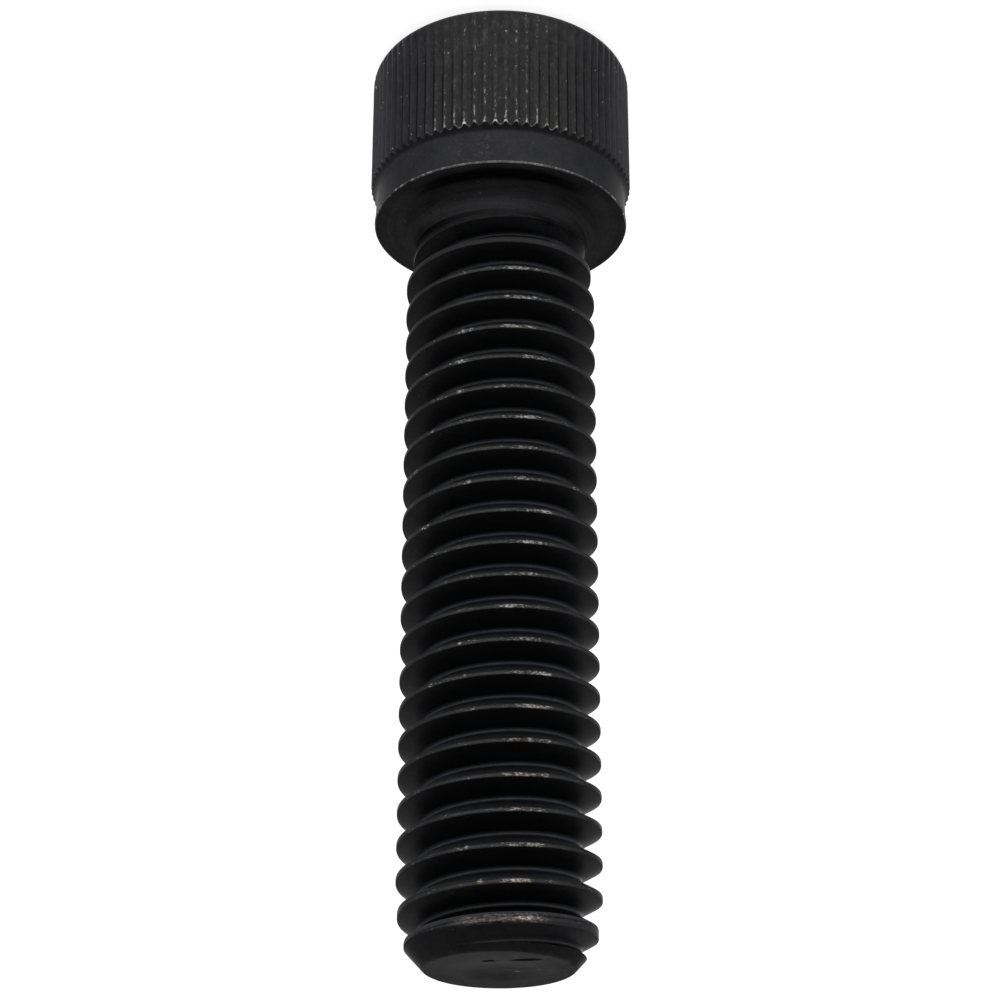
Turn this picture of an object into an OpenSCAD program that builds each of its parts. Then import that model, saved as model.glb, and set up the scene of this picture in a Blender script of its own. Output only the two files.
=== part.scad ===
// Hex socket cap screw, one piece of black steel, standing on its head.
// The top face of the head lies on z = 0 and the thread points up, so z grows towards the point.
// The thread is a true right-hand helix, rolled on a blank as thick as the plain neck:
// near the head its root sinks into the blank quickly and its crests rise over more than a turn.
// Near the point the crests aren't filled, and are wider flats between flanks of the same angle.

/* [Thread] */
// Diameter over the thread crests
thread_d = 9.31; // [9:0.01:10]
// Distance from one thread to the next
pitch = 1.5875; // [1.45:0.0125:1.75]
// Width of the flat on top of a thread
crest_flat = 0.22; // [0.14:0.01:0.28]
// Radius of the rounded thread root
root_radius = 0.21; // [0.16:0.01:0.26]
// Angle between the two flanks of a thread
flank_angle = 60; // [55:1:65]
// Direction in which a crest line would meet the underside of the head
thread_turn = 254; // [0:1:360]
// How far past the end of the neck the root starts to sink in
root_start = 0.4; // [0:0.05:1]
// Length over which the root reaches its depth
root_len = 0.65; // [0.5:0.05:4]
// How far past the end of the neck the crests start to rise
crest_start = 0.3; // [0:0.05:1]
// Length over which the crests reach their height
crest_len = 1.95; // [1:0.05:5]

/* [Shank] */
// Length from the underside of the head to the point
shank_len = 37.79; // [20:0.01:60]
// How far the plain neck lies below the thread crests
neck_step = 0.405; // [0.3:0.005:0.6]
// Length of the neck, from the underside of the head to the end of its fillet
neck_len = 1.35; // [1:0.05:3]
// Width of the neck's fillet on the underside of the head
fillet_w = 0.9; // [0.4:0.05:1.3]

/* [Point] */
// How far the corner of the end face lies inside the thread crests
point_step = 1.195; // [1.05:0.005:1.8]
// Slope of the end chamfer, measured from the end face
point_angle = 48; // [30:1:60]
// Size of the break on the corner between the end face and the chamfer
point_break = 0.13; // [0.05:0.01:0.3]
// Length over which the last crests get lower
lead_len = 3.8; // [2:0.1:6]
// How much the crest line has dropped where it would reach the end face
lead_drop = 0.65; // [0.2:0.01:0.8]
// Diameter of the shallow hollow that rolling leaves in the end face
hollow_d = 3.2; // [1:0.1:5]
// Depth of that hollow
hollow_depth = 0.14; // [0.05:0.01:0.3]

/* [Head] */
// Diameter over the knurl
head_d = 13.08; // [12.8:0.02:15]
// Height of the head
head_h = 9.12; // [8:0.01:11]
// Radius of the rounded edge between the top face and the knurl
top_round = 1.05; // [0.6:0.01:1.2]
// How far the smooth band lies below the tops of the ridges
band_step = 0.275; // [0.25:0.005:0.5]
// How far the band flares out towards the edge of the underside
rim_flare = 0.07; // [0.02:0.005:0.1]
// Height at which the flare of the rim starts
rim_h = 0.5; // [0.2:0.05:1]
// Size of the small break on the edge of the underside
rim_break = 0.08; // [0.03:0.01:0.12]

/* [Knurl] */
// Number of straight ridges round the head
knurl_count = 80; // [40:1:110]
// Height of a ridge above its grooves
knurl_depth = 0.18; // [0.1:0.01:0.2]
// Width of the flat on top of a ridge
ridge_flat = 0.1; // [0.06:0.01:0.14]
// Width of the floor of a groove
groove_flat = 0.12; // [0.06:0.01:0.14]
// Direction of the first ridge
knurl_turn = 2.3; // [0:0.1:4.5]
// Height above the underside of the head at which the ridges have their full height
knurl_start = 2.17; // [1.2:0.01:3]

/* [Socket] */
// Distance across the flats of the hexagon
socket_af = 7.94; // [6:0.01:8.2]
// Depth of the flat walls
socket_depth = 4.9; // [3.5:0.1:5.2]
// Full angle of the cone at the bottom of the socket
socket_cone_angle = 118; // [100:1:140]
// Width of the chamfer at the mouth, outside the corners
mouth_chamfer = 0.15; // [0.05:0.01:0.25]
// Full angle of the chamfer at the mouth
mouth_angle = 115; // [90:1:130]

/* [Hidden] */
$fn = 144;

steel = [0.06, 0.06, 0.065];
overlap = 0.5;     // how far joined shapes reach into each other
seam_step = 0.03;  // how far the threaded core stays inside the neck's surface
columns = 36;      // sides of the threaded core

underside_z = head_h;
point_z = head_h + shank_len;

thread_r = thread_d / 2;
neck_r = thread_r - neck_step;
point_r = thread_r - point_step;
head_r = head_d / 2;
band_r = head_r - band_step;
rim_r = band_r + rim_flare;
top_face_r = head_r - top_round;

// The thread's section: straight flanks between a flat crest and a round root
half_flank = flank_angle / 2;
sharp_depth = (pitch - crest_flat) / 2 / tan(half_flank);
thread_depth = sharp_depth - root_radius * (1 / sin(half_flank) - 1);
root_r = thread_r - thread_depth;
root_half = root_radius * cos(half_flank);
root_edge_r = root_r + root_radius * (1 - sin(half_flank));
low_crest_r = root_edge_r + seam_step;  // no crest is cut lower than this
rows_per_turn = 5;

// The helix starts a turn and more under the end of the neck and runs out past the point
crest_z = underside_z - pitch * thread_turn / 360;
first_turn = floor((neck_len - 2 * overlap) / pitch + thread_turn / 360) - 1;
last_turn = ceil(shank_len / pitch + thread_turn / 360);
rows = (last_turn - first_turn) * rows_per_turn;
core_start_z = crest_z + pitch * (first_turn - 0.5) - overlap;
core_end_z = crest_z + pitch * (last_turn + 1) + overlap;

// How far crests or roots are formed at a height: 0 on the neck, 1 past the run-out
function formed(z, start, length) =
    min(1, max(0, (z - underside_z - neck_len - start) / length));

// Radius that the last crests reach near the point, where rolling doesn't fill them
function lead_r(z) =
    thread_r - lead_drop * pow(max(0, z - (point_z - lead_len)) / lead_len, 2);

// Radii of the crest line and of a point of the root, both starting just inside the neck
function crest_line_r(z) =
    let (share = formed(z, crest_start, crest_len), blank_r = neck_r - seam_step)
    max(low_crest_r, min(lead_r(z), blank_r + share * (thread_r - blank_r)));
function root_line_r(z, full_r) =
    let (share = formed(z, root_start, root_len), blank_r = neck_r - seam_step)
    blank_r + share * (full_r - blank_r);

// One pitch of the section round a crest at a height: distance along the axis and radius
function section(z) =
    let (crest_r = crest_line_r(z),
         unfilled = (thread_r - crest_r) * formed(z, crest_start, crest_len),
         crest_half = crest_flat / 2 + unfilled * tan(half_flank),
         low_z = z + pitch / 2)
    [[-crest_half, crest_r],
     [crest_half, crest_r],
     [pitch / 2 - root_half, root_line_r(low_z - root_half, root_edge_r)],
     [pitch / 2, root_line_r(low_z, root_r)],
     [pitch / 2 + root_half, root_line_r(low_z + root_half, root_edge_r)]];

// The point of the helical surface in one row and one column
function helix_point(row, column) =
    let (turn = first_turn + floor(row / rows_per_turn),
         angle = 360 * column / columns,
         z = crest_z + pitch * (turn + column / columns),
         spot = section(z)[row % rows_per_turn])
    [spot[1] * cos(angle), spot[1] * sin(angle), z + spot[0]];

function ring(r, z) =
    [for (column = [0:columns - 1])
        let (angle = 360 * column / columns) [r * cos(angle), r * sin(angle), z]];

// Solid core with the helical thread on it, closed by a flat ring at each end
module thread_core() {
    helix = [for (row = [0:rows - 1]) for (column = [0:columns - 1]) helix_point(row, column)];
    start_ring = ring(neck_r - seam_step, core_start_z);
    end_ring = ring(root_r, core_end_z);
    first = len(helix);
    last = first + columns;
    seam = columns - 1;

    function at(row, column) =
        column < columns ? row * columns + column : (row + rows_per_turn) * columns;
    function start_at(column) = first + column % columns;
    function end_at(column) = last + column % columns;

    wall = [for (row = [0:rows - 2]) for (column = [0:seam])
        if (column < seam || row + rows_per_turn + 1 < rows)
            each [[at(row, column), at(row + 1, column), at(row + 1, column + 1)],
                  [at(row, column), at(row + 1, column + 1), at(row, column + 1)]]];
    start_wall = [for (column = [0:seam - 1])
        each [[start_at(column), at(0, column), at(0, column + 1)],
              [start_at(column), at(0, column + 1), start_at(column + 1)]]];
    end_wall = [for (column = [0:seam - 1])
        each [[at(rows - 1, column), end_at(column), end_at(column + 1)],
              [at(rows - 1, column), end_at(column + 1), at(rows - 1, column + 1)]]];
    // The strips where the first and the last turn meet the flat rings
    start_seam = concat(
        [[start_at(seam), at(0, seam), start_at(0)], [start_at(0), at(0, seam), at(0, 0)]],
        [for (row = [0:rows_per_turn - 1]) [at(row, 0), at(0, seam), at(row + 1, 0)]]);
    end_seam = concat(
        [[end_at(seam), end_at(0), at(rows - 1, 0)],
         [at(rows - 1, seam), end_at(seam), at(rows - 1, 0)]],
        [for (row = [rows - 1 - rows_per_turn:rows - 2])
            [at(row, seam), at(row + 1, seam), at(rows - 1, 0)]]);
    caps = [[for (column = [0:seam]) start_at(column)],
            [for (column = [seam:-1:0]) end_at(column)]];

    polyhedron(points = concat(helix, start_ring, end_ring),
               faces = concat(wall, start_wall, end_wall, start_seam, end_seam, caps));
}

// The envelope of the point: a wide drum whose end is the chamfer and the end face
module point_envelope() {
    reach = thread_d;
    rotate_extrude()
        polygon([[0, core_start_z - overlap], [reach, core_start_z - overlap],
                 [reach, point_z - (reach - point_r) * tan(point_angle)],
                 [point_r + point_break * cos(point_angle),
                  point_z - point_break * sin(point_angle)],
                 [point_r - point_break, point_z], [0, point_z]]);
}

module threaded_shank() {
    difference() {
        intersection() {
            thread_core();
            point_envelope();
        }
        translate([0, 0, point_z - hollow_depth])
            cylinder(h = 2 * hollow_depth, r1 = 0, r2 = hollow_d);
    }
}

// Smooth band, rim, underside, fillet and neck as one turned shape
module band_and_neck() {
    band_z = underside_z - knurl_start - overlap;
    fillet_steps = 8;
    fillet = [for (step = [0:fillet_steps])
        let (turn = 90 * step / fillet_steps)
        [neck_r + fillet_w * (1 - sin(turn)), underside_z + neck_len * (1 - cos(turn))]];
    rotate_extrude()
        polygon(concat(
            [[0, band_z], [band_r, band_z], [band_r, underside_z - rim_h],
             [rim_r, underside_z - rim_break], [rim_r - rim_break, underside_z]],
            fillet,
            [[0, underside_z + neck_len]]));
}

// Section through the ridges, each a flat top between two sloping sides
module knurl_section() {
    groove_r = head_r - knurl_depth;
    step = 360 / knurl_count;
    ridge_half = asin(ridge_flat / 2 / head_r);
    groove_half = asin(groove_flat / 2 / groove_r);
    polygon([for (ridge = [0:knurl_count - 1])
        let (middle = knurl_turn + ridge * step)
        each [head_r * [cos(middle - ridge_half), sin(middle - ridge_half)],
              head_r * [cos(middle + ridge_half), sin(middle + ridge_half)],
              groove_r * [cos(middle + step / 2 - groove_half),
                          sin(middle + step / 2 - groove_half)],
              groove_r * [cos(middle + step / 2 + groove_half),
                          sin(middle + step / 2 + groove_half)]]]);
}

// The turned shape that trims the ridges: the round top edge, and a short cone at their ends.
// The last strip of the round runs on past the ridges, which end where it meets their tops.
module knurl_envelope() {
    ridge_end_z = underside_z - knurl_start;
    trim = knurl_depth;
    inside = band_step + overlap;
    round_steps = 3;
    last_angle = 90 * (1 - 1 / round_steps);
    arc = [for (step = [0:round_steps - 1])
        let (angle = 90 * step / round_steps)
        [top_face_r + top_round * sin(angle), top_round * (1 - cos(angle))]];
    strip_slope = cos(last_angle) / (1 - sin(last_angle));
    rotate_extrude()
        polygon(concat(
            [[0, 0]],
            arc,
            [[head_r + trim, top_round + trim * strip_slope],
             [head_r + trim, ridge_end_z - trim],
             [head_r - inside, ridge_end_z + inside],
             [0, ridge_end_z + inside]]));
}

module knurled_head() {
    intersection() {
        linear_extrude(height = head_h)
            knurl_section();
        knurl_envelope();
    }
}

module hex_socket() {
    corner_r = socket_af / 2 / cos(30);
    mouth_r = corner_r + mouth_chamfer;
    cone_r = socket_af / 2;
    translate([0, 0, -overlap])
        cylinder(h = socket_depth + overlap, r = corner_r, $fn = 6);
    translate([0, 0, socket_depth])
        cylinder(h = cone_r / tan(socket_cone_angle / 2), r1 = cone_r, r2 = 0);
    mouth_slope = tan(mouth_angle / 2);
    translate([0, 0, -overlap])
        cylinder(h = overlap + mouth_r / mouth_slope, r1 = mouth_r + overlap * mouth_slope,
                 r2 = 0);
}

module cap_screw() {
    color(steel)
        difference() {
            union() {
                knurled_head();
                band_and_neck();
                threaded_shank();
            }
            hex_socket();
        }
}

cap_screw();
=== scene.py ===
# A black hex socket cap screw that stands on its head: its shape, finish, floor, light and camera.
import math

import bpy
from mathutils import Matrix, Vector


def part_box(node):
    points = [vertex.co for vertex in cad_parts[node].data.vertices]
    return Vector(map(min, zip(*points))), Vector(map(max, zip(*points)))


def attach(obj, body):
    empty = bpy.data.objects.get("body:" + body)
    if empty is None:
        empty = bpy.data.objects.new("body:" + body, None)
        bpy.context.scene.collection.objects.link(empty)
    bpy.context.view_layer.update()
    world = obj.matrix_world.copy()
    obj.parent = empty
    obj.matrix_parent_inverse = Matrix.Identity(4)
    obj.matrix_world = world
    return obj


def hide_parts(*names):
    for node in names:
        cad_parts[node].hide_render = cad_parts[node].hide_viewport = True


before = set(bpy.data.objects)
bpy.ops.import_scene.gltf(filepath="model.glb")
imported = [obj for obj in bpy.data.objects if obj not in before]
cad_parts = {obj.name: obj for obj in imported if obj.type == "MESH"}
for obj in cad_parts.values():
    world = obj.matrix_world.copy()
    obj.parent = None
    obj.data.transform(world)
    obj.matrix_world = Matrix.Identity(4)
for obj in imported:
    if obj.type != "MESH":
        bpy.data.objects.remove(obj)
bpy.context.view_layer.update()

lowCorner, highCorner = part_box("cap_screw")
mm = 0.001
tiny = 1e-6
topZ = lowCorner.z     # the head's flat top face, on which the screw stands
pointZ = highCorner.z  # the end face of the thread

headLook = {
    "diameter": 13.08 * mm,     # over the ridges
    "height": 9.12 * mm,
    "topRound": 1.05 * mm,      # the edge between the top face and the ridges
    "topRoundSteps": 9,
    "bandStep": 0.275 * mm,     # from the ridge tops down to the smooth band
    "coneLength": 0.5 * mm,     # the ridges end on a hollow cone that runs out into the band
    "coneRows": (0.07, 0.18, 0.3, 0.45, 0.62, 0.8),
    "closeRow": 0.05 * mm,      # a row this near to a change of slope keeps the shading crisp
    "rimFlare": 0.07 * mm,
    "rimHeight": 0.5 * mm,
    "rimRows": ((2.0, 0.0), (1.0, 0.2), (0.5, 0.6)),  # share of its height, share of its flare
    "rimBreak": 0.08 * mm,
    "rimSteps": 4,
    "filletWidth": 0.9 * mm,
    "filletSteps": 14,
    "ridges": 80,
    "ridgeHeight": 0.135 * mm,
    "faintRidges": 2.4 * mm,    # past the top edge they take this long to reach their full height
    "faintShare": 0.45,         # of their full height, at the top edge
    "ridgeStart": 2.17 * mm,    # from the underside to the end of the ridges
    "firstRidge": 2.3,          # degrees
    "rowsOnRidge": 16,
}

# One ridge from groove to groove: share of the ridge's spacing and share of its height
ridgeShape = [(0.0, 0.0), (0.125, 0.13), (0.25, 0.46), (0.375, 0.83), (0.5, 1.0),
              (0.625, 0.83), (0.75, 0.46), (0.875, 0.13), (1.0, 0.0)]

threadLook = {
    "diameter": 9.31 * mm,      # over the crests
    "pitch": 1.5875 * mm,
    "crestFlat": 0.22 * mm,
    "crestRound": 0.035 * mm,
    "rootRound": 0.21 * mm,
    "halfFlank": 30.0,          # degrees
    "turn": 249.0,              # direction in which a crest line would meet the underside
    "neckStep": 0.405 * mm,
    "neckLength": 1.35 * mm,
    "rootStart": 0.4 * mm,      # past the end of the neck
    "rootLength": 0.65 * mm,
    "crestStart": 0.3 * mm,
    "crestLength": 1.95 * mm,
    "leadLength": 3.8 * mm,
    "leadDrop": 0.65 * mm,
    "deepestCrest": 0.44 * mm,  # below the neck: no crest is lower than this
    "stepsPerTurn": 96,
    "seam": 0.006 * mm,         # the shank's blank lies this far inside the neck
    "overlap": 0.4 * mm,        # and reaches this far down into it
}

pointLook = {
    "edgeStep": 1.26 * mm,      # from the crests in to the corner of the end face
    "angle": 48.0,              # of the chamfer, in degrees
    "edgeRound": 0.3 * mm,
    "edgeSteps": 5,
    "hollowRadius": 1.6 * mm,
    "hollowDepth": 0.14 * mm,
    # past its radius, as a share of it, and share of its depth
    "hollowShape": [(0.25, 0.0), (0.0, 0.12), (-0.3, 0.55), (-0.6, 0.85), (-1, 1)],
    "steps": 192,
    "markWidth": 0.25 * mm,     # two pressed marks in the end face
    "markDepth": 0.07 * mm,
    "markTilt": 8.5,            # degrees
    "markSteps": 28,
    # where each lies, and half its length
    "marks": [(0.45 * mm, -1.66 * mm, 0.42 * mm), (-1.2 * mm, -1.93 * mm, 0.85 * mm)],
}

socketLook = {
    "acrossFlats": 7.94 * mm,
    "depth": 4.9 * mm,          # to the end of the flats
    "coneAngle": 118.0,         # of the drilled bottom, in degrees
    "mouthChamfer": 0.15 * mm,
    "mouthAngle": 115.0,
    "outside": 1 * mm,          # how far the cutters reach past the top face
    "steps": 96,
}

smoothBelow = 32  # degrees: edges that are sharper stay sharp

headRadius = headLook["diameter"] / 2
bandRadius = headRadius - headLook["bandStep"]
rimRadius = bandRadius + headLook["rimFlare"]
undersideZ = topZ + headLook["height"]
threadRadius = threadLook["diameter"] / 2
neckRadius = threadRadius - threadLook["neckStep"]
neckEndZ = undersideZ + threadLook["neckLength"]


def deselectAll():
    if bpy.context.object and bpy.context.object.mode == "EDIT":
        bpy.ops.object.mode_set(mode="OBJECT")
    bpy.ops.object.select_all(action="DESELECT")


def makeActive(piece):
    deselectAll()
    piece.select_set(True)
    bpy.context.view_layer.objects.active = piece


def startEdit(piece, elements="VERT"):
    makeActive(piece)
    bpy.ops.object.mode_set(mode="EDIT")
    bpy.ops.mesh.select_mode(type=elements)


def endEdit():
    bpy.ops.object.mode_set(mode="OBJECT")


def applyPlace(piece):
    makeActive(piece)
    bpy.ops.object.transform_apply(location=True, rotation=True, scale=True)


def drawProfile(name, points):
    # a line in the XZ plane, drawn by extruding one vertex from point to point
    deselectAll()
    radius, z = points[0]
    bpy.ops.mesh.primitive_plane_add(size=mm, location=(radius, 0, z))
    line = bpy.context.object
    line.name = name
    startEdit(line)
    bpy.ops.mesh.select_all(action="SELECT")
    bpy.ops.mesh.merge(type="CENTER")
    for nextRadius, nextZ in points[1:]:
        bpy.ops.mesh.extrude_region_move(
            TRANSFORM_OT_translate={"value": (nextRadius - radius, 0, nextZ - z)})
        radius, z = nextRadius, nextZ
    endEdit()
    applyPlace(line)
    return line


def spinRound(piece, steps, angle=2 * math.pi, asCopies=False):
    startEdit(piece)
    bpy.ops.mesh.select_all(action="SELECT")
    # spin turns clockwise about its axis, so the axis points down
    bpy.ops.mesh.spin(steps=steps, angle=angle, dupli=asCopies, center=(0, 0, 0), axis=(0, 0, -1))
    bpy.ops.mesh.select_all(action="SELECT")
    bpy.ops.mesh.remove_doubles(threshold=tiny)
    endEdit()


def facesOutward(piece):
    startEdit(piece, "FACE")
    bpy.ops.mesh.select_all(action="SELECT")
    bpy.ops.mesh.normals_make_consistent(inside=False)
    endEdit()


def roundCorner(before, corner, after, radius, steps):
    # the arc that rounds one corner of a profile
    back = (Vector(before) - Vector(corner)).normalized()
    ahead = (Vector(after) - Vector(corner)).normalized()
    half = back.angle(ahead) / 2
    centre = Vector(corner) + (back + ahead).normalized() * radius / math.sin(half)
    start = Vector(corner) + back * radius / math.tan(half) - centre
    end = Vector(corner) + ahead * radius / math.tan(half) - centre
    turn = start.angle_signed(end)
    arc = []
    for step in range(steps + 1):
        arm = start.copy()
        arm.rotate(Matrix.Rotation(-turn * step / steps, 2))
        arc.append(tuple(centre + arm))
    return arc


def polar(place):
    return math.hypot(place.x, place.y), math.atan2(place.y, place.x)


def setPolar(vertex, radius, angle):
    vertex.co.x = radius * math.cos(angle)
    vertex.co.y = radius * math.sin(angle)


def cut(piece, tool, operation):
    # one Boolean, applied, and the tool thrown away
    makeActive(piece)
    step = piece.modifiers.new("cut", "BOOLEAN")
    step.operation = operation
    step.solver = "EXACT"
    step.object = tool
    bpy.ops.object.modifier_apply(modifier=step.name)
    bpy.data.objects.remove(tool)


# The turned head with its ridges, underside, fillet and neck

def headProfile():
    look = headLook
    topRound = look["topRound"]
    ridgeEndZ = undersideZ - look["ridgeStart"]
    coneFoot = (bandRadius, ridgeEndZ + look["coneLength"])
    topEdge = []
    for step in range(look["topRoundSteps"] + 1):
        turn = math.pi / 2 * step / look["topRoundSteps"]
        topEdge.append((headRadius - topRound + topRound * math.sin(turn),
                        topZ + topRound - topRound * math.cos(turn)))
    ridgeRows = [(headRadius, topEdge[-1][1] + (ridgeEndZ - topEdge[-1][1]) * row
                  / look["rowsOnRidge"]) for row in range(1, look["rowsOnRidge"])]
    ridgeEnd = [(headRadius, ridgeEndZ - look["closeRow"]), (headRadius, ridgeEndZ)]
    cone = [(headRadius - look["bandStep"] * (1 - (1 - share) ** 2),
             ridgeEndZ + look["coneLength"] * share) for share in look["coneRows"]]
    rimEdge = roundCorner((bandRadius, undersideZ - look["rimHeight"]), (rimRadius, undersideZ),
                          (0, undersideZ), look["rimBreak"], look["rimSteps"])
    band = [coneFoot, (bandRadius, coneFoot[1] + look["closeRow"])]
    band += [(bandRadius + look["rimFlare"] * out, undersideZ - look["rimHeight"] * up)
             for up, out in look["rimRows"]]
    filletCentre = (neckRadius + look["filletWidth"], neckEndZ)
    fillet = []
    for step in range(look["filletSteps"] + 1):
        turn = math.pi / 2 * step / look["filletSteps"]
        fillet.append((filletCentre[0] - look["filletWidth"] * math.sin(turn),
                       filletCentre[1] - threadLook["neckLength"] * math.cos(turn)))
    return ([(0, topZ)] + topEdge + ridgeRows + ridgeEnd + cone + band + rimEdge + fillet
            + [(0, neckEndZ)])


def shapeRidge(piece):
    # bends one sector of the turned head into a ridge between two half grooves
    look = headLook
    spacing = 2 * math.pi / look["ridges"]
    columns = len(ridgeShape) - 1
    for vertex in piece.data.vertices:
        radius, angle = polar(vertex.co)
        if radius < tiny:
            continue
        column = min(columns, max(0, round(angle / spacing * columns)))
        share, height = ridgeShape[column]
        formedShare = (vertex.co.z - topZ - look["topRound"]) / look["faintRidges"]
        depth = look["ridgeHeight"] * min(1.0, look["faintShare"]
                                          + (1 - look["faintShare"]) * max(0.0, formedShare))
        grooveRadius = headRadius - depth * (1 - height)
        setPolar(vertex, min(radius, grooveRadius), share * spacing)


def makeHead():
    head = drawProfile("screwHead", headProfile())
    spacing = 2 * math.pi / headLook["ridges"]
    spinRound(head, len(ridgeShape) - 1, spacing)
    shapeRidge(head)
    spinRound(head, headLook["ridges"] - 1, 2 * math.pi - spacing, asCopies=True)
    ridgeCentre = math.radians(headLook["firstRidge"]) - spacing / 2
    head.data.transform(Matrix.Rotation(ridgeCentre, 4, "Z"))
    facesOutward(head)
    return head


# The rolled thread

def halfSection(crestRadius, widening, depth):
    # from a crest's middle to the middle of the root: distance along the axis and radius.
    # widening is added to the crest's half width, and depth is the share of the root's depth.
    look = threadLook
    slope = math.tan(math.radians(look["halfFlank"]))
    corner = look["pitch"] / 2
    flat = look["crestFlat"] / 2
    rootRound = look["rootRound"]
    rootRadius = (threadRadius - (corner - flat) / slope
                  + rootRound * (1 / math.sin(math.radians(look["halfFlank"])) - 1))
    rootEdge = rootRound * math.cos(math.radians(look["halfFlank"]))
    crestHalf = flat + widening
    root = []
    for share in (1.0, 0.7, 0.35, 0.0):
        across = rootEdge * share
        radius = rootRadius + rootRound - math.sqrt(rootRound ** 2 - across ** 2)
        root.append((corner - across, crestRadius + min(0.0, depth * (radius - neckRadius)
                     + neckRadius - crestRadius)))
    length = math.hypot(root[0][0] - crestHalf, crestRadius - root[0][1])
    crestRound = min(look["crestRound"], 0.3 * length)
    crest = [(0.0, crestRadius), (crestHalf - crestRound, crestRadius)]
    towards = ((root[0][0] - crestHalf) / length, (root[0][1] - crestRadius) / length)
    for share, drop in ((0.5, 0.14), (0.0, 0.36)):
        crest.append((crestHalf - crestRound * share + crestRound * towards[0] * drop,
                      crestRadius + crestRound * towards[1] * drop))
    crest.append((crestHalf + crestRound * towards[0], crestRadius + crestRound * towards[1]))
    flank = [tuple(Vector(crest[-1]).lerp(Vector(root[0]), share)) for share in (0.33, 0.67)]
    return crest + flank + root


def formed(z, start, length):
    return min(1.0, max(0.0, (z - neckEndZ - start) / length))


def sectionAt(crestPlace, side):
    # the half section that leaves the crest at this height towards the point (1) or the head (-1)
    look = threadLook
    along = max(0.0, crestPlace - (pointZ - look["leadLength"])) / look["leadLength"]
    leadRadius = threadRadius - look["leadDrop"] * along ** 2
    share = formed(crestPlace, look["crestStart"], look["crestLength"])
    crestRadius = min(leadRadius, neckRadius + share * (threadRadius - neckRadius))
    crestRadius = max(crestRadius, neckRadius - look["deepestCrest"])
    rootPlace = crestPlace + side * look["pitch"] / 2
    slope = math.tan(math.radians(look["halfFlank"]))
    depth = formed(rootPlace, look["rootStart"], look["rootLength"])
    return halfSection(crestRadius, share * (threadRadius - crestRadius) * slope, depth)


def makeShank():
    look = threadLook
    pitch = look["pitch"]
    crestZ = undersideZ - pitch * look["turn"] / 360
    turns = math.ceil((pointZ - crestZ) / pitch) + 2
    half = halfSection(threadRadius, 0.0, 1.0)
    rows = len(half)
    profile = half + [(pitch - along, radius) for along, radius in reversed(half[:-1])]
    shank = drawProfile("screwThread", [(radius, crestZ - pitch + z) for z, radius in profile])
    makeActive(shank)
    sweep = shank.modifiers.new("sweep", "SCREW")
    sweep.angle = 2 * math.pi
    sweep.screw_offset = pitch
    sweep.iterations = turns
    sweep.steps = sweep.render_steps = look["stepsPerTurn"]
    bpy.ops.object.modifier_apply(modifier=sweep.name)
    startEdit(shank)
    bpy.ops.mesh.select_all(action="SELECT")
    bpy.ops.mesh.remove_doubles(threshold=tiny)
    endEdit()
    alongs = [along for along, radius in half]
    sections = {}
    for vertex in shank.data.vertices:
        radius, angle = polar(vertex.co)
        turn = angle / (2 * math.pi) % 1
        crest = round((vertex.co.z - crestZ) / pitch - turn)
        crestPlace = crestZ + pitch * (crest + turn)
        side = 1 if vertex.co.z > crestPlace else -1
        offset = abs(vertex.co.z - crestPlace)
        row = min(range(rows), key=lambda i: abs(alongs[i] - offset))
        key = (round(crestPlace / tiny), side)
        if key not in sections:
            sections[key] = sectionAt(crestPlace, side)
        along, radius = sections[key][row]
        vertex.co.z = crestPlace + side * along
        setPolar(vertex, radius - look["seam"], angle)
    startZ = neckEndZ - look["overlap"]
    for z, clear in ((startZ, "clear_inner"), (pointZ + pitch / 2, "clear_outer")):
        startEdit(shank)
        bpy.ops.mesh.select_all(action="SELECT")
        bpy.ops.mesh.bisect(plane_co=(0, 0, z), plane_no=(0, 0, 1), threshold=1e-9,
                            use_fill=True, **{clear: True})
        endEdit()
    facesOutward(shank)
    return shank


def makePointEnvelope():
    look = pointLook
    edgeRadius = threadRadius - look["edgeStep"]
    reach = threadLook["diameter"]
    slope = math.tan(math.radians(look["angle"]))
    edge = roundCorner((reach, pointZ - (reach - edgeRadius) * slope), (edgeRadius, pointZ),
                       (0, pointZ), look["edgeRound"], look["edgeSteps"])
    hollow = [(look["hollowRadius"] * (1 + share), pointZ - look["hollowDepth"] * sink)
              for share, sink in look["hollowShape"]]
    points = [(0, neckEndZ), (reach, neckEndZ), (reach, pointZ - (reach - edgeRadius) * slope)]
    envelope = drawProfile("pointEnvelope", points + edge + hollow)
    spinRound(envelope, look["steps"])
    facesOutward(envelope)
    for x, y, halfLength in look["marks"]:
        deselectAll()
        bpy.ops.mesh.primitive_uv_sphere_add(
            segments=look["markSteps"], ring_count=look["markSteps"] // 2, radius=1,
            location=(x, y, pointZ + look["markDepth"]),
            rotation=(0, 0, math.radians(look["markTilt"])),
            scale=(halfLength, look["markWidth"], 2 * look["markDepth"]))
        mark = bpy.context.object
        applyPlace(mark)
        facesOutward(mark)
        cut(envelope, mark, "DIFFERENCE")
    return envelope


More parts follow.
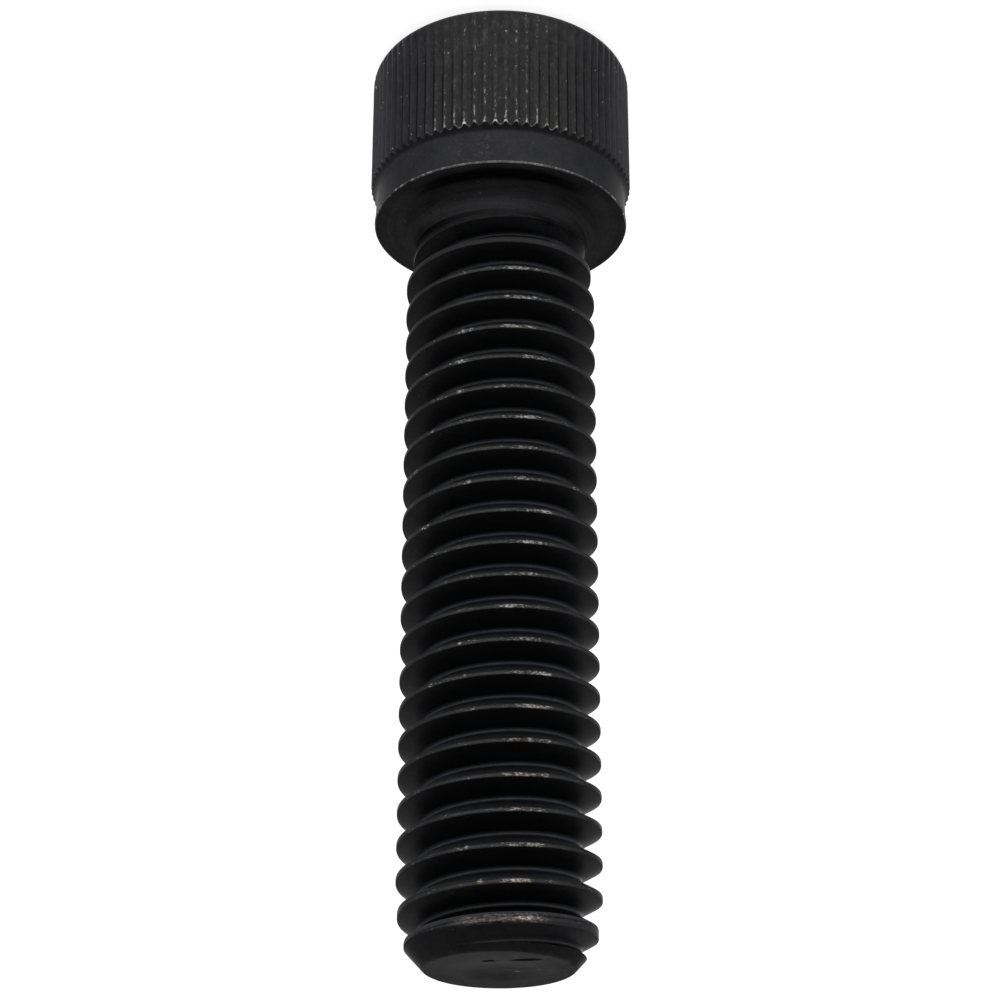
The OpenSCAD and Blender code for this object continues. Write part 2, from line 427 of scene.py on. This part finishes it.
def makeSocketCutter():
    look = socketLook
    corner = look["acrossFlats"] / 2 / math.cos(math.pi / 6)
    drill = look["acrossFlats"] / 2
    flatEndZ = topZ + look["depth"]
    tipZ = flatEndZ + drill / math.tan(math.radians(look["coneAngle"] / 2))
    outside = look["outside"]
    slope = math.tan(math.radians(look["mouthAngle"] / 2))
    mouth = corner + look["mouthChamfer"]
    deselectAll()
    bpy.ops.mesh.primitive_cylinder_add(
        vertices=6, radius=corner, depth=look["depth"] + outside,
        location=(0, 0, topZ + (look["depth"] - outside) / 2), rotation=(0, 0, math.pi / 2))
    hexagon = bpy.context.object
    applyPlace(hexagon)
    for name, points in (
            ("drill", [(0, flatEndZ - mm), (drill, flatEndZ - mm), (drill, flatEndZ), (0, tipZ)]),
            ("mouth", [(0, topZ - outside), (mouth + outside * slope, topZ - outside),
                       (0, topZ + mouth / slope)])):
        cone = drawProfile(name, points)
        spinRound(cone, look["steps"])
        facesOutward(cone)
        cut(hexagon, cone, "UNION")
    return hexagon


def makeScrew():
    head = makeHead()
    print("head turned:", len(head.data.polygons), "faces")
    shank = makeShank()
    cut(shank, makePointEnvelope(), "INTERSECT")
    print("thread rolled:", len(shank.data.polygons), "faces")
    cut(head, shank, "UNION")
    cut(head, makeSocketCutter(), "DIFFERENCE")
    facesOutward(head)
    makeActive(head)
    bpy.ops.object.shade_smooth_by_angle(angle=math.radians(smoothBelow))
    print("socket cut:", len(head.data.polygons), "faces")
    return head


class Wire:
    # a socket in a node tree: sums on it add Math nodes

    def __init__(self, tree, socket):
        self.tree = tree
        self.socket = socket

    def node(self, kind, settings, inputs, output=0):
        made = self.tree.nodes.new(kind)
        for name, value in settings.items():
            setattr(made, name, value)
        for name, value in inputs.items():
            if isinstance(value, Wire):
                self.tree.links.new(value.socket, made.inputs[name])
            else:
                made.inputs[name].default_value = value
        return Wire(self.tree, made.outputs[output]) if made.outputs else None

    def maths(self, operation, first, second=0.0):
        return self.node("ShaderNodeMath", {"operation": operation}, {0: first, 1: second})

    def __add__(self, other):
        return self.maths("ADD", self, other)

    def __radd__(self, other):
        return self.maths("ADD", other, self)

    def __sub__(self, other):
        return self.maths("SUBTRACT", self, other)

    def __rsub__(self, other):
        return self.maths("SUBTRACT", other, self)

    def __mul__(self, other):
        return self.maths("MULTIPLY", self, other)

    def __rmul__(self, other):
        return self.maths("MULTIPLY", other, self)


def newMaterial(name):
    material = bpy.data.materials.new(name)
    material.use_nodes = True
    tree = material.node_tree
    tree.nodes.clear()
    return material, Wire(tree, None)


def rise(value, low, high):
    return value.node("ShaderNodeMapRange", {"interpolation_type": "SMOOTHSTEP"},
                      {"Value": value, "From Min": low, "From Max": high})


def fall(value, low, high):
    return 1 - rise(value, low, high)


def between(value, start, full, last, end):
    return rise(value, start, full) * fall(value, last, end)


def near(value, middle, inside, outside):
    # 1 up to one distance from the middle, 0 beyond the other
    return fall(value.maths("ABSOLUTE", value - middle), inside, outside)


def atMost(value, limit):
    return value.maths("MINIMUM", value, limit)


def greater(first, second):
    return first.maths("MAXIMUM", first, second)


def combine(x, y, z):
    return x.node("ShaderNodeCombineXYZ", {}, {"X": x, "Y": y, "Z": z})


def grain(vector, scale, detail=3.0, roughness=0.5):
    return vector.node("ShaderNodeTexNoise", {}, {"Vector": vector, "Scale": scale,
                                                  "Detail": detail, "Roughness": roughness})


def blend(factor, first, second):
    return factor.node("ShaderNodeMix", {"data_type": "RGBA"}, {0: factor, 6: first, 7: second}, 2)


finishLook = {
    "oxide": (0.0255, 0.0252, 0.027, 1),
    "rubbedAndLit": (0.038, 0.0375, 0.0385, 1),     # the front and back of the knurl and band: partly wear, partly painted light
    "blueBand": (0.031, 0.0318, 0.0345, 1),
    "bluish": (0.018, 0.019, 0.023, 1),       # smooth side of the thread's roots
    "headSideTone": (0.066, 0.068, 0.076, 1),         # lighter, duller side of the thread, towards the head
    "paleDullRings": (0.046, 0.047, 0.05, 1),
    "wornAndHighlight": (0.075, 0.072, 0.07, 1),          # rubbed crests and edges, and the crest line's painted highlight
    "steel": (0.5, 0.48, 0.455, 1),           # bare metal, also used for painted glints
    "warmSteel": (0.5, 0.43, 0.365, 1),       # bare metal near the point
    "edgeTint": (0.55, 0.55, 0.55, 1),
    "roughness": 0.4,
    "rootRoughness": 0.34,
    "dullRoughness": 0.58,
    "steelRoughness": 0.33,
    "relief": 0.35,
    "reliefDepth": 0.02 * mm,
}

# Degrees round the screw from -Y, positive towards -X: middle, full wear up to, none beyond
# Most of these sides carry painted highlights and glints as well as wear
wearAndGlintSides = {
    "front": (2.0, 12.0, 48.0),
    "ridges": (-2.0, 20.0, 42.0),
    "smearAndSheen": (2.0, 18.0, 42.0),
    "ridgeEnds": (2.0, 22.0, 40.0),
    "paintedGlintSide": (14.0, 7.0, 21.0),
    "chipped": (-20.0, 3.0, 9.0),
    "scuffed": (-12.0, 5.0, 12.0),
    "lastCrest": (0.0, 16.0, 34.0),
}

# Degrees away from the front, on either side
# farSide takes a share of the wear; the others place painted shade and painted highlights
awayFromFront = {
    "farSide": (96.0, 130.0),
    "paintedShade": (12.0, 50.0),
    "paintedStripes": (36.0, 62.0),
    "flank": (52.0, 72.0, 95.0, 120.0),
}

# Along the screw, in mm above the underside, zones of wear and of painted light and shade: where a
# zone starts, is full, begins to fade and ends, or only the first or the last two of these
wearAndShadeZones = {
    "neck": (-0.03, -0.01, 1.6, 2.2),
    "firstGrooveShade": (1.38, 1.5, 2.5, 3.1),
    "thread": (1.75, 2.3, 37.0, 37.2),
    "fullThread": (3.6, 4.4),
    "warmSteel": (20.0, 32.0),
    "headSideFade": (35.0, 35.9),
    "lastCrest": (35.6, 36.0, 36.7, 37.0),
}

# Across one turn of the thread, in shares of the pitch: 0 on the crest, positive towards the point
threadParts = {
    "crest": (0.055, 0.1),
    "crestLine": (0.018, 0.02, 0.065),
    "crestWearAndGlints": (0.01, 0.03, 0.075),
    "lastWear": (0.0, 0.09, 0.17),
    # painted shade on the crest's edge towards the head
    "paintedShadeEdge": (-0.05, -0.01),
    "root": (0.34, 0.42),
    "headSide": (-0.12, -0.085),
}

# Across one ridge of the knurl, in shares of its width: 0 on the ridge's top
ridgeParts = {
    "wear": (0.03, 0.11),
    "top": (0.1, 0.26),
    # painted highlights on the ridge tops and on their outer sides
    "light": (0.08, 0.4),
    "paintedOuterSide": (0.18, 0.06, 0.26),
}

# How much bare steel each kind of wear shows, painted glints on the front crests, ridges and ridge
# ends included
bareShares = {
    "crests": 0.75,
    "ridges": 0.38,
    "ridgeEnds": 0.9,
    "rim": 0.8,
    "specks": 0.45,
    "lastCrest": 0.2,
    "chips": (0.2, 0.45),  # all over, and more where the grain is broken
}

# Chips on the crests and specks on the head: degrees from the front, then the height above the
# underside and the size, both in mm
chips = [(-22.2, 8.11, 0.17), (-23.2, 9.7, 0.13), (-24.2, 11.29, 0.2), (-18.2, 16.03, 0.16),
         (-22.8, 23.98, 0.13), (-19.5, 25.56, 0.12), (33.6, 18.6, 0.2), (17.0, 28.57, 0.22),
         (-17.8, 33.49, 0.13), (-10.5, 35.04, 0.2),
         (-14.0, -7.4, 0.07), (2.3, -7.4, 0.08), (6.8, -7.4, 0.08), (11.3, -7.4, 0.08),
         (13.2, -0.05, 0.06), (15.4, -0.05, 0.08), (18.2, -0.05, 0.07), (-20.5, -0.05, 0.06)]


def makeOxide():
    # masks follow the shape in object coordinates, in millimetres
    look = finishLook
    material, wire = newMaterial("blackOxide")
    place = wire.node("ShaderNodeTexCoord", {}, {}, "Object")
    x, y, z = [place.node("ShaderNodeSeparateXYZ", {}, {"Vector": place}, axis) * (1 / mm)
               for axis in ("X", "Y", "Z")]
    spot = combine(x, y, z)
    radius = x.maths("SQRT", x * x + y * y)
    angle = x.maths("ARCTAN2", y, x)
    above = z - undersideZ / mm
    aside = x.maths("ARCTAN2", 0 - x, 0 - y) * math.degrees(1)  # 0 at -Y, positive towards -X
    offFront = x.maths("ABSOLUTE", aside)
    # wear and painted highlights gather at the front, and the far side gets much the same
    behind = rise(offFront, *awayFromFront["farSide"]) * 0.8
    front = greater(near(aside, *wearAndGlintSides["front"]), behind)
    mottle = grain(spot, 1.1, 2.0)
    fine = grain(spot, 6.5, 4.0, 0.62)

    # the thread: side is 0 on a crest, 0.5 and -0.5 in the roots, positive towards the point
    pitch = threadLook["pitch"] / mm
    crestZ = undersideZ / mm - pitch * threadLook["turn"] / 360
    turn = (z - crestZ) * (1 / pitch) - angle * (0.5 / math.pi)
    side = x.maths("FRACT", turn + 0.5) - 0.5
    off = x.maths("ABSOLUTE", side)
    threaded = between(above, *wearAndShadeZones["thread"])
    fullThread = rise(above, *wearAndShadeZones["fullThread"])
    crest = fullThread * fall(off, *threadParts["crest"])
    crestLine = near(side, *threadParts["crestLine"]) * (fullThread * 0.75 + 0.25) * threaded
    root = threaded * rise(side, *threadParts["root"])
    # the thread's side towards the head, given a lighter, duller tone
    headSide = threaded * fall(side, *threadParts["headSide"]) * (fullThread * 0.6 + 0.4) * (
        fall(above, *wearAndShadeZones["headSideFade"]) * 0.75 + 0.25)
    streaks = grain(combine(x * 2.2, y * 2.2, side * 12.0 + z), 2.6, 5.0, 0.65)
    # the side where painted glints gather on the crests
    paintedGlintSide = greater(near(aside, *wearAndGlintSides["paintedGlintSide"]), behind * 0.9)
    chippedSide = near(aside, *wearAndGlintSides["chipped"])
    lastCrest = between(above, *wearAndShadeZones["lastCrest"]) * near(aside, *wearAndGlintSides["lastCrest"])
    lastWear = lastCrest * near(side, *threadParts["lastWear"]) * rise(
        streaks * 0.6 + fine * 0.5, 0.5, 0.62)
    broken = rise(grain(spot, 9.0, 2.0, 0.6), 0.4, 0.56)
    # bare crest wear, partly real, partly painted glints gathered on one side
    crestWearAndGlints = crest * near(side, *threadParts["crestWearAndGlints"]) * (broken * 0.7 + 0.3) * rise(
        streaks + mottle * 0.6 + paintedGlintSide * 0.17 + chippedSide * 0.07, 0.95, 1.08)
    # a paler rubbed line along the crests: partly wear, partly painted highlight, strongest front and
    # back
    crestRubAndHighlight = crestLine * (front * 0.66 + 0.03) * rise(streaks, 0.25, 0.6)
    chipMasks = []
    for degrees, height, size in chips:
        around = math.radians(degrees)
        reach = threadRadius if height > 0 else rimRadius if height > -1 else headRadius
        centre = (-math.sin(around) * reach / mm, -math.cos(around) * reach / mm,
                  undersideZ / mm + height)
        distance = x.node("ShaderNodeVectorMath", {"operation": "DISTANCE"}, {0: spot, 1: centre}, 1)
        chipMasks.append(fall(distance + streaks * size * 3, size * 1.6, size * 2.3))
    chip = chipMasks[0]
    for mask in chipMasks[1:]:
        chip = greater(chip, mask)

    # the ridges of the knurl: ridge is 0 on a ridge's top and 0.5 in a groove
    ridgeStep = 2 * math.pi / headLook["ridges"]
    ridgeTurn = (angle - math.radians(headLook["firstRidge"])) * (1 / ridgeStep)
    offRidge = x.maths("FRACT", ridgeTurn + 0.5) - 0.5
    ridge = x.maths("ABSOLUTE", offRidge)
    outside = 0 - offRidge * x.maths("SIGN", aside)  # positive on the side that faces away from -Y
    ridgeEnd = -headLook["ridgeStart"] / mm
    knurled = rise(radius, 5.5, 5.9) * fall(above, ridgeEnd - 0.02, ridgeEnd + 0.02)
    downRidge = grain(combine(x * 3.0, y * 3.0, z * 1.3), 2.2, 5.0, 0.68)
    nearEnd = rise(above, ridgeEnd - 3.2, ridgeEnd)
    # bare ridge tops and smears, mostly front and back: partly wear, partly painted glints and sheen
    ridgeWearAndGlints = knurled * fall(ridge, *ridgeParts["wear"]) * rise(
        downRidge + nearEnd * 0.1 + (near(aside, *wearAndGlintSides["ridges"]) + behind) * 0.15, 0.72, 0.84)
    smearAndSheen = knurled * (near(aside, *wearAndGlintSides["smearAndSheen"]) + behind) * rise(
        grain(combine(x * 2.0, y * 2.0, z), 1.5, 6.0, 0.75), 0.52, 0.66)
    beforeCone = above - ridgeEnd - (headRadius / mm - radius)
    ridgeTop = fall(ridge, *ridgeParts["top"])
    edge = rise(beforeCone + ridgeTop * 0.06, -0.09, -0.06) * fall(beforeCone, -0.02, -0.008) * (
        rise(radius, 6.2, 6.3))
    # the ridges' ends on the cone: bare edges, partly wear, partly painted highlights
    ridgeEndWearAndGlints = edge * (near(aside, *wearAndGlintSides["ridgeEnds"]) + behind) * (ridgeTop * 0.75 + 0.25) * (
        rise(grain(spot, 1.9, 2.0), 0.38, 0.6))

    # the edge of the underside, the ring inside it and the turned neck
    corner = radius - rimRadius / mm + above
    rim = rise(corner, -0.095, -0.07) * fall(above, 0.0, 0.3) * rise(radius, 5.9, 6.1)
    rimGrain = grain(spot, 1.7, 5.0, 0.7)
    beads = rise(rimGrain * 0.5 + grain(spot, 5.0, 2.0) * 0.6 + paintedGlintSide * 0.04 + front * 0.04,
                 0.59, 0.65)
    # bare rim wear, brighter at the front: partly wear, partly painted highlight
    rimWearAndHighlight = rim * atMost(rise(rimGrain + front * 0.14, 0.34, 0.58) * (front * 0.3 + 0.26)
                           + beads, 1.0)
    band = rise(radius, 6.0, 6.1) * between(above, ridgeEnd + 0.3, ridgeEnd + 0.55, -0.15, -0.1)
    scuff = band * near(aside, *wearAndGlintSides["scuffed"]) * rise(
        grain(combine(x, y, z * 1.6), 2.8, 6.0, 0.75), 0.54, 0.64)
    neck = between(above, *wearAndShadeZones["neck"])
    ring = neck * rise(radius, 5.45, 6.1)
    turned = neck * (grain(combine(radius, x * 0.12, z), 7.0, 4.0, 0.6) - 0.5)
    # how far round to the side: there the neck, ring and band get painted shade
    paintedSideShade = rise(offFront, *awayFromFront["paintedShade"])

    # the end face: a paler ring inside its edge as a painted highlight, painted shade in the pressed
    # marks and on the far half
    endFace = rise(z, pointZ / mm - 0.2, pointZ / mm - 0.12)
    endRingHighlight = endFace * near(radius, 2.95, 0.2, 0.75) * rise(fine, 0.3, 0.6)
    dentAndShade = endFace * near(y - x * 0.15 + fine * 0.3, -1.57, 0.1, 0.28) * (
        near(x, -0.55, 1.1, 1.5) * fall(near(x, -0.2, 0.05, 0.25), 0.0, 1.6))
    farEndShade = endFace * (rise(y, -2.2, 2.0) * 0.72 + (grain(spot, 1.6, 4.0, 0.7) - 0.5) * 1.3 - 0.05)
    # painted shade in the first groove
    firstGrooveShade = between(above, *wearAndShadeZones["firstGrooveShade"]) * fall(headSide, 0.0, 0.5)

    # small bright specks, most on the knurl
    specks = rise(grain(spot, 7.0, 1.0), 0.76, 0.785) * (knurled * 0.75 + 0.25)

    # lighter front and back of the knurl and band: partly wear, partly painted light
    rubbedAndLit = front * (knurled + between(above, ridgeEnd, ridgeEnd + 0.3, -0.1, 0.0))
    # the underside's outer ring, paler and duller away from the fillet, and the end face's painted
    # highlight ring
    paleDullRings = atMost(ring + endRingHighlight * 0.4, 1.0)
    wornAndHighlight = atMost(crestRubAndHighlight + smearAndSheen * 0.5 + rim * 0.3 + scuff * 0.6 + lastCrest * crest * 0.4, 1.0)
    chipped, chippedMore = bareShares["chips"]
    bareAndGlints = atMost(crestWearAndGlints * bareShares["crests"] + chip * (broken * chippedMore + chipped)
                  + ridgeWearAndGlints * bareShares["ridges"] + ridgeEndWearAndGlints * bareShares["ridgeEnds"]
                  + rimWearAndHighlight * bareShares["rim"] + specks * bareShares["specks"]
                  + lastWear * bareShares["lastCrest"], 1.0)
    steel = blend(rise(above, *wearAndShadeZones["warmSteel"]), look["steel"], look["warmSteel"])
    colour = blend(atMost(rubbedAndLit, 1.0) * 0.62, look["oxide"], look["rubbedAndLit"])
    colour = blend(band * 0.5, colour, look["blueBand"])
    colour = blend(root, colour, look["bluish"])
    colour = blend(headSide, colour, look["headSideTone"])
    colour = blend(paleDullRings, colour, look["paleDullRings"])
    colour = blend(wornAndHighlight, colour, look["wornAndHighlight"])
    colour = blend(bareAndGlints, colour, steel)

    # random tone, painted light and painted shade, as a factor on the colour
    shade = 1 + (fine - 0.5) * 0.7 + (mottle - 0.5) * 0.5 + turned * 1.3 - dentAndShade * 0.75 - farEndShade
    # painted light on the front of the neck and ring, painted shade on their sides and on the band's
    # sides
    shade = shade + neck * (0.15 - paintedSideShade * 0.42) + ring * fall(paintedSideShade, 0.0, 0.6) * 0.5
    shade = shade - band * paintedSideShade * 0.22
    # painted shade on each crest's edge towards the head
    shade = shade - crest * fall(side, *threadParts["paintedShadeEdge"]) * 0.4
    shade = shade - firstGrooveShade * 0.4
    # painted highlights on the ridge tops, on the knurl's sides and on the ridges' outer faces, with
    # random mottling
    paintedRidgeLight = (fall(ridge, *ridgeParts["light"]) * 0.22 - 0.08 + (downRidge - 0.5) * 0.9
                  + between(offFront, *awayFromFront["flank"]) * 0.6
                  + rise(offFront, *awayFromFront["paintedStripes"])
                  * (near(outside, *ridgeParts["paintedOuterSide"]) * 2.0 - 0.05))
    shade = shade + paintedRidgeLight * knurled
    colour = colour.node("ShaderNodeVectorMath", {"operation": "SCALE"}, {0: colour, "Scale": shade})

    dull = atMost(paleDullRings + headSide, 1.0)
    roughness = look["roughness"] + dull * (look["dullRoughness"] - look["roughness"])
    roughness = roughness + root * (look["rootRoughness"] - look["roughness"]) + ring * 0.1
    roughness = roughness - bareAndGlints * (look["roughness"] - look["steelRoughness"])
    relief = fine * 0.35 + streaks * crest + downRidge * knurled * 0.7 + turned * 0.3 - dentAndShade * 0.5
    bump = x.node("ShaderNodeBump", {}, {"Strength": look["relief"], "Distance": look["reliefDepth"],
                                         "Height": relief})
    shader = wire.node("ShaderNodeBsdfPrincipled", {}, {
        "Base Color": colour, "Roughness": roughness + turned * 0.3, "Metallic": 1.0,
        "Specular Tint": look["edgeTint"], "Normal": bump})
    wire.node("ShaderNodeOutputMaterial", {}, {"Surface": shader})
    return material


floorLook = {
    "size": 6.0,
    "drop": 0.02 * mm,     # kept just under the head's face
    "albedo": 0.85,
    "glow": 0.85,          # seen by the camera and in reflections only
}


def makeFloor():
    deselectAll()
    bpy.ops.mesh.primitive_plane_add(size=floorLook["size"], location=(0, 0, topZ - floorLook["drop"]))
    floor = bpy.context.object
    floor.name = "floor"
    applyPlace(floor)
    material, wire = newMaterial("paleFloor")
    camera, glossy, through = [wire.node("ShaderNodeLightPath", {}, {}, name)
                               for name in ("Is Camera Ray", "Is Glossy Ray", "Is Transmission Ray")]
    seen = greater(camera, greater(glossy, through))
    shade = floorLook["albedo"]
    paint = wire.node("ShaderNodeBsdfDiffuse", {}, {"Color": (shade, shade, shade, 1)})
    glow = wire.node("ShaderNodeEmission", {}, {"Strength": seen * floorLook["glow"]})
    both = wire.node("ShaderNodeAddShader", {}, {0: paint, 1: glow})
    wire.node("ShaderNodeOutputMaterial", {}, {"Surface": both})
    floor.data.materials.append(material)


lightLook = {
    "horizon": 0.42,         # strength of the world's light
    "zenith": 0.3,
    "behind": 0.25,          # how much brighter the far side is than the middle
    "watts": 0.5,            # of the softbox
    "size": (0.9, 0.35),
    "distance": 0.7,         # behind the screw
    "height": 0.42,
}


def makeLight():
    look = lightLook
    world = bpy.data.worlds.new("studio")
    bpy.context.scene.world = world
    world.use_nodes = True
    world.node_tree.nodes.clear()
    wire = Wire(world.node_tree, None)
    place = wire.node("ShaderNodeTexCoord", {}, {}, "Generated")
    y, z = [place.node("ShaderNodeSeparateXYZ", {}, {"Vector": place}, axis) for axis in ("Y", "Z")]
    sky = fall(z, 0.0, 1.0) * (look["horizon"] - look["zenith"]) + look["zenith"]
    camera = wire.node("ShaderNodeLightPath", {}, {}, "Is Camera Ray")
    strength = greater(sky * (1 + y * look["behind"]), camera)
    back = wire.node("ShaderNodeBackground", {}, {"Color": (1, 1, 1, 1), "Strength": strength})
    wire.node("ShaderNodeOutputWorld", {}, {"Surface": back})
    lamp = bpy.data.lights.new("backSoftbox", "AREA")
    lamp.shape = "RECTANGLE"
    lamp.size, lamp.size_y = look["size"]
    lamp.energy = look["watts"]
    softbox = bpy.data.objects.new("backSoftbox", lamp)
    bpy.context.scene.collection.objects.link(softbox)
    softbox.location = Vector((0, look["distance"], look["height"]))
    aim = Vector((0, 0, undersideZ)) - softbox.location
    softbox.rotation_euler = aim.to_track_quat("-Z", "Y").to_euler()


# The camera stands 111 mm in front of the axis and 66 mm above the underside, upside down
cameraLook = {
    "place": (0.0, -110.9 * mm, 65.59 * mm),  # from the axis at the underside
    "pitch": 24.535,                          # degrees, looking down
    "roll": 180.11,
    "lens": 91.75,
    "sensor": 36.0,
}


def makeCamera():
    look = cameraLook
    data = bpy.data.cameras.new("camera")
    camera = bpy.data.objects.new("camera", data)
    bpy.context.scene.collection.objects.link(camera)
    data.sensor_width = look["sensor"]
    data.lens = look["lens"]
    data.clip_start = 1 * mm
    turn = Matrix.Rotation(math.radians(90 - look["pitch"]), 4, "X")
    roll = Matrix.Rotation(math.radians(look["roll"]), 4, "Z")
    place = Matrix.Translation(Vector(look["place"]) + Vector((0, 0, undersideZ)))
    camera.matrix_world = place @ turn @ roll
    bpy.context.scene.camera = camera


bpy.context.scene.view_settings.view_transform = "Standard"
screw = makeScrew()
screw.name = screw.data.name = "capScrew"
screw.data.materials.clear()
screw.data.materials.append(makeOxide())
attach(screw, "root")
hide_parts("cap_screw")
makeFloor()
makeLight()
makeCamera()
print("scene ready")
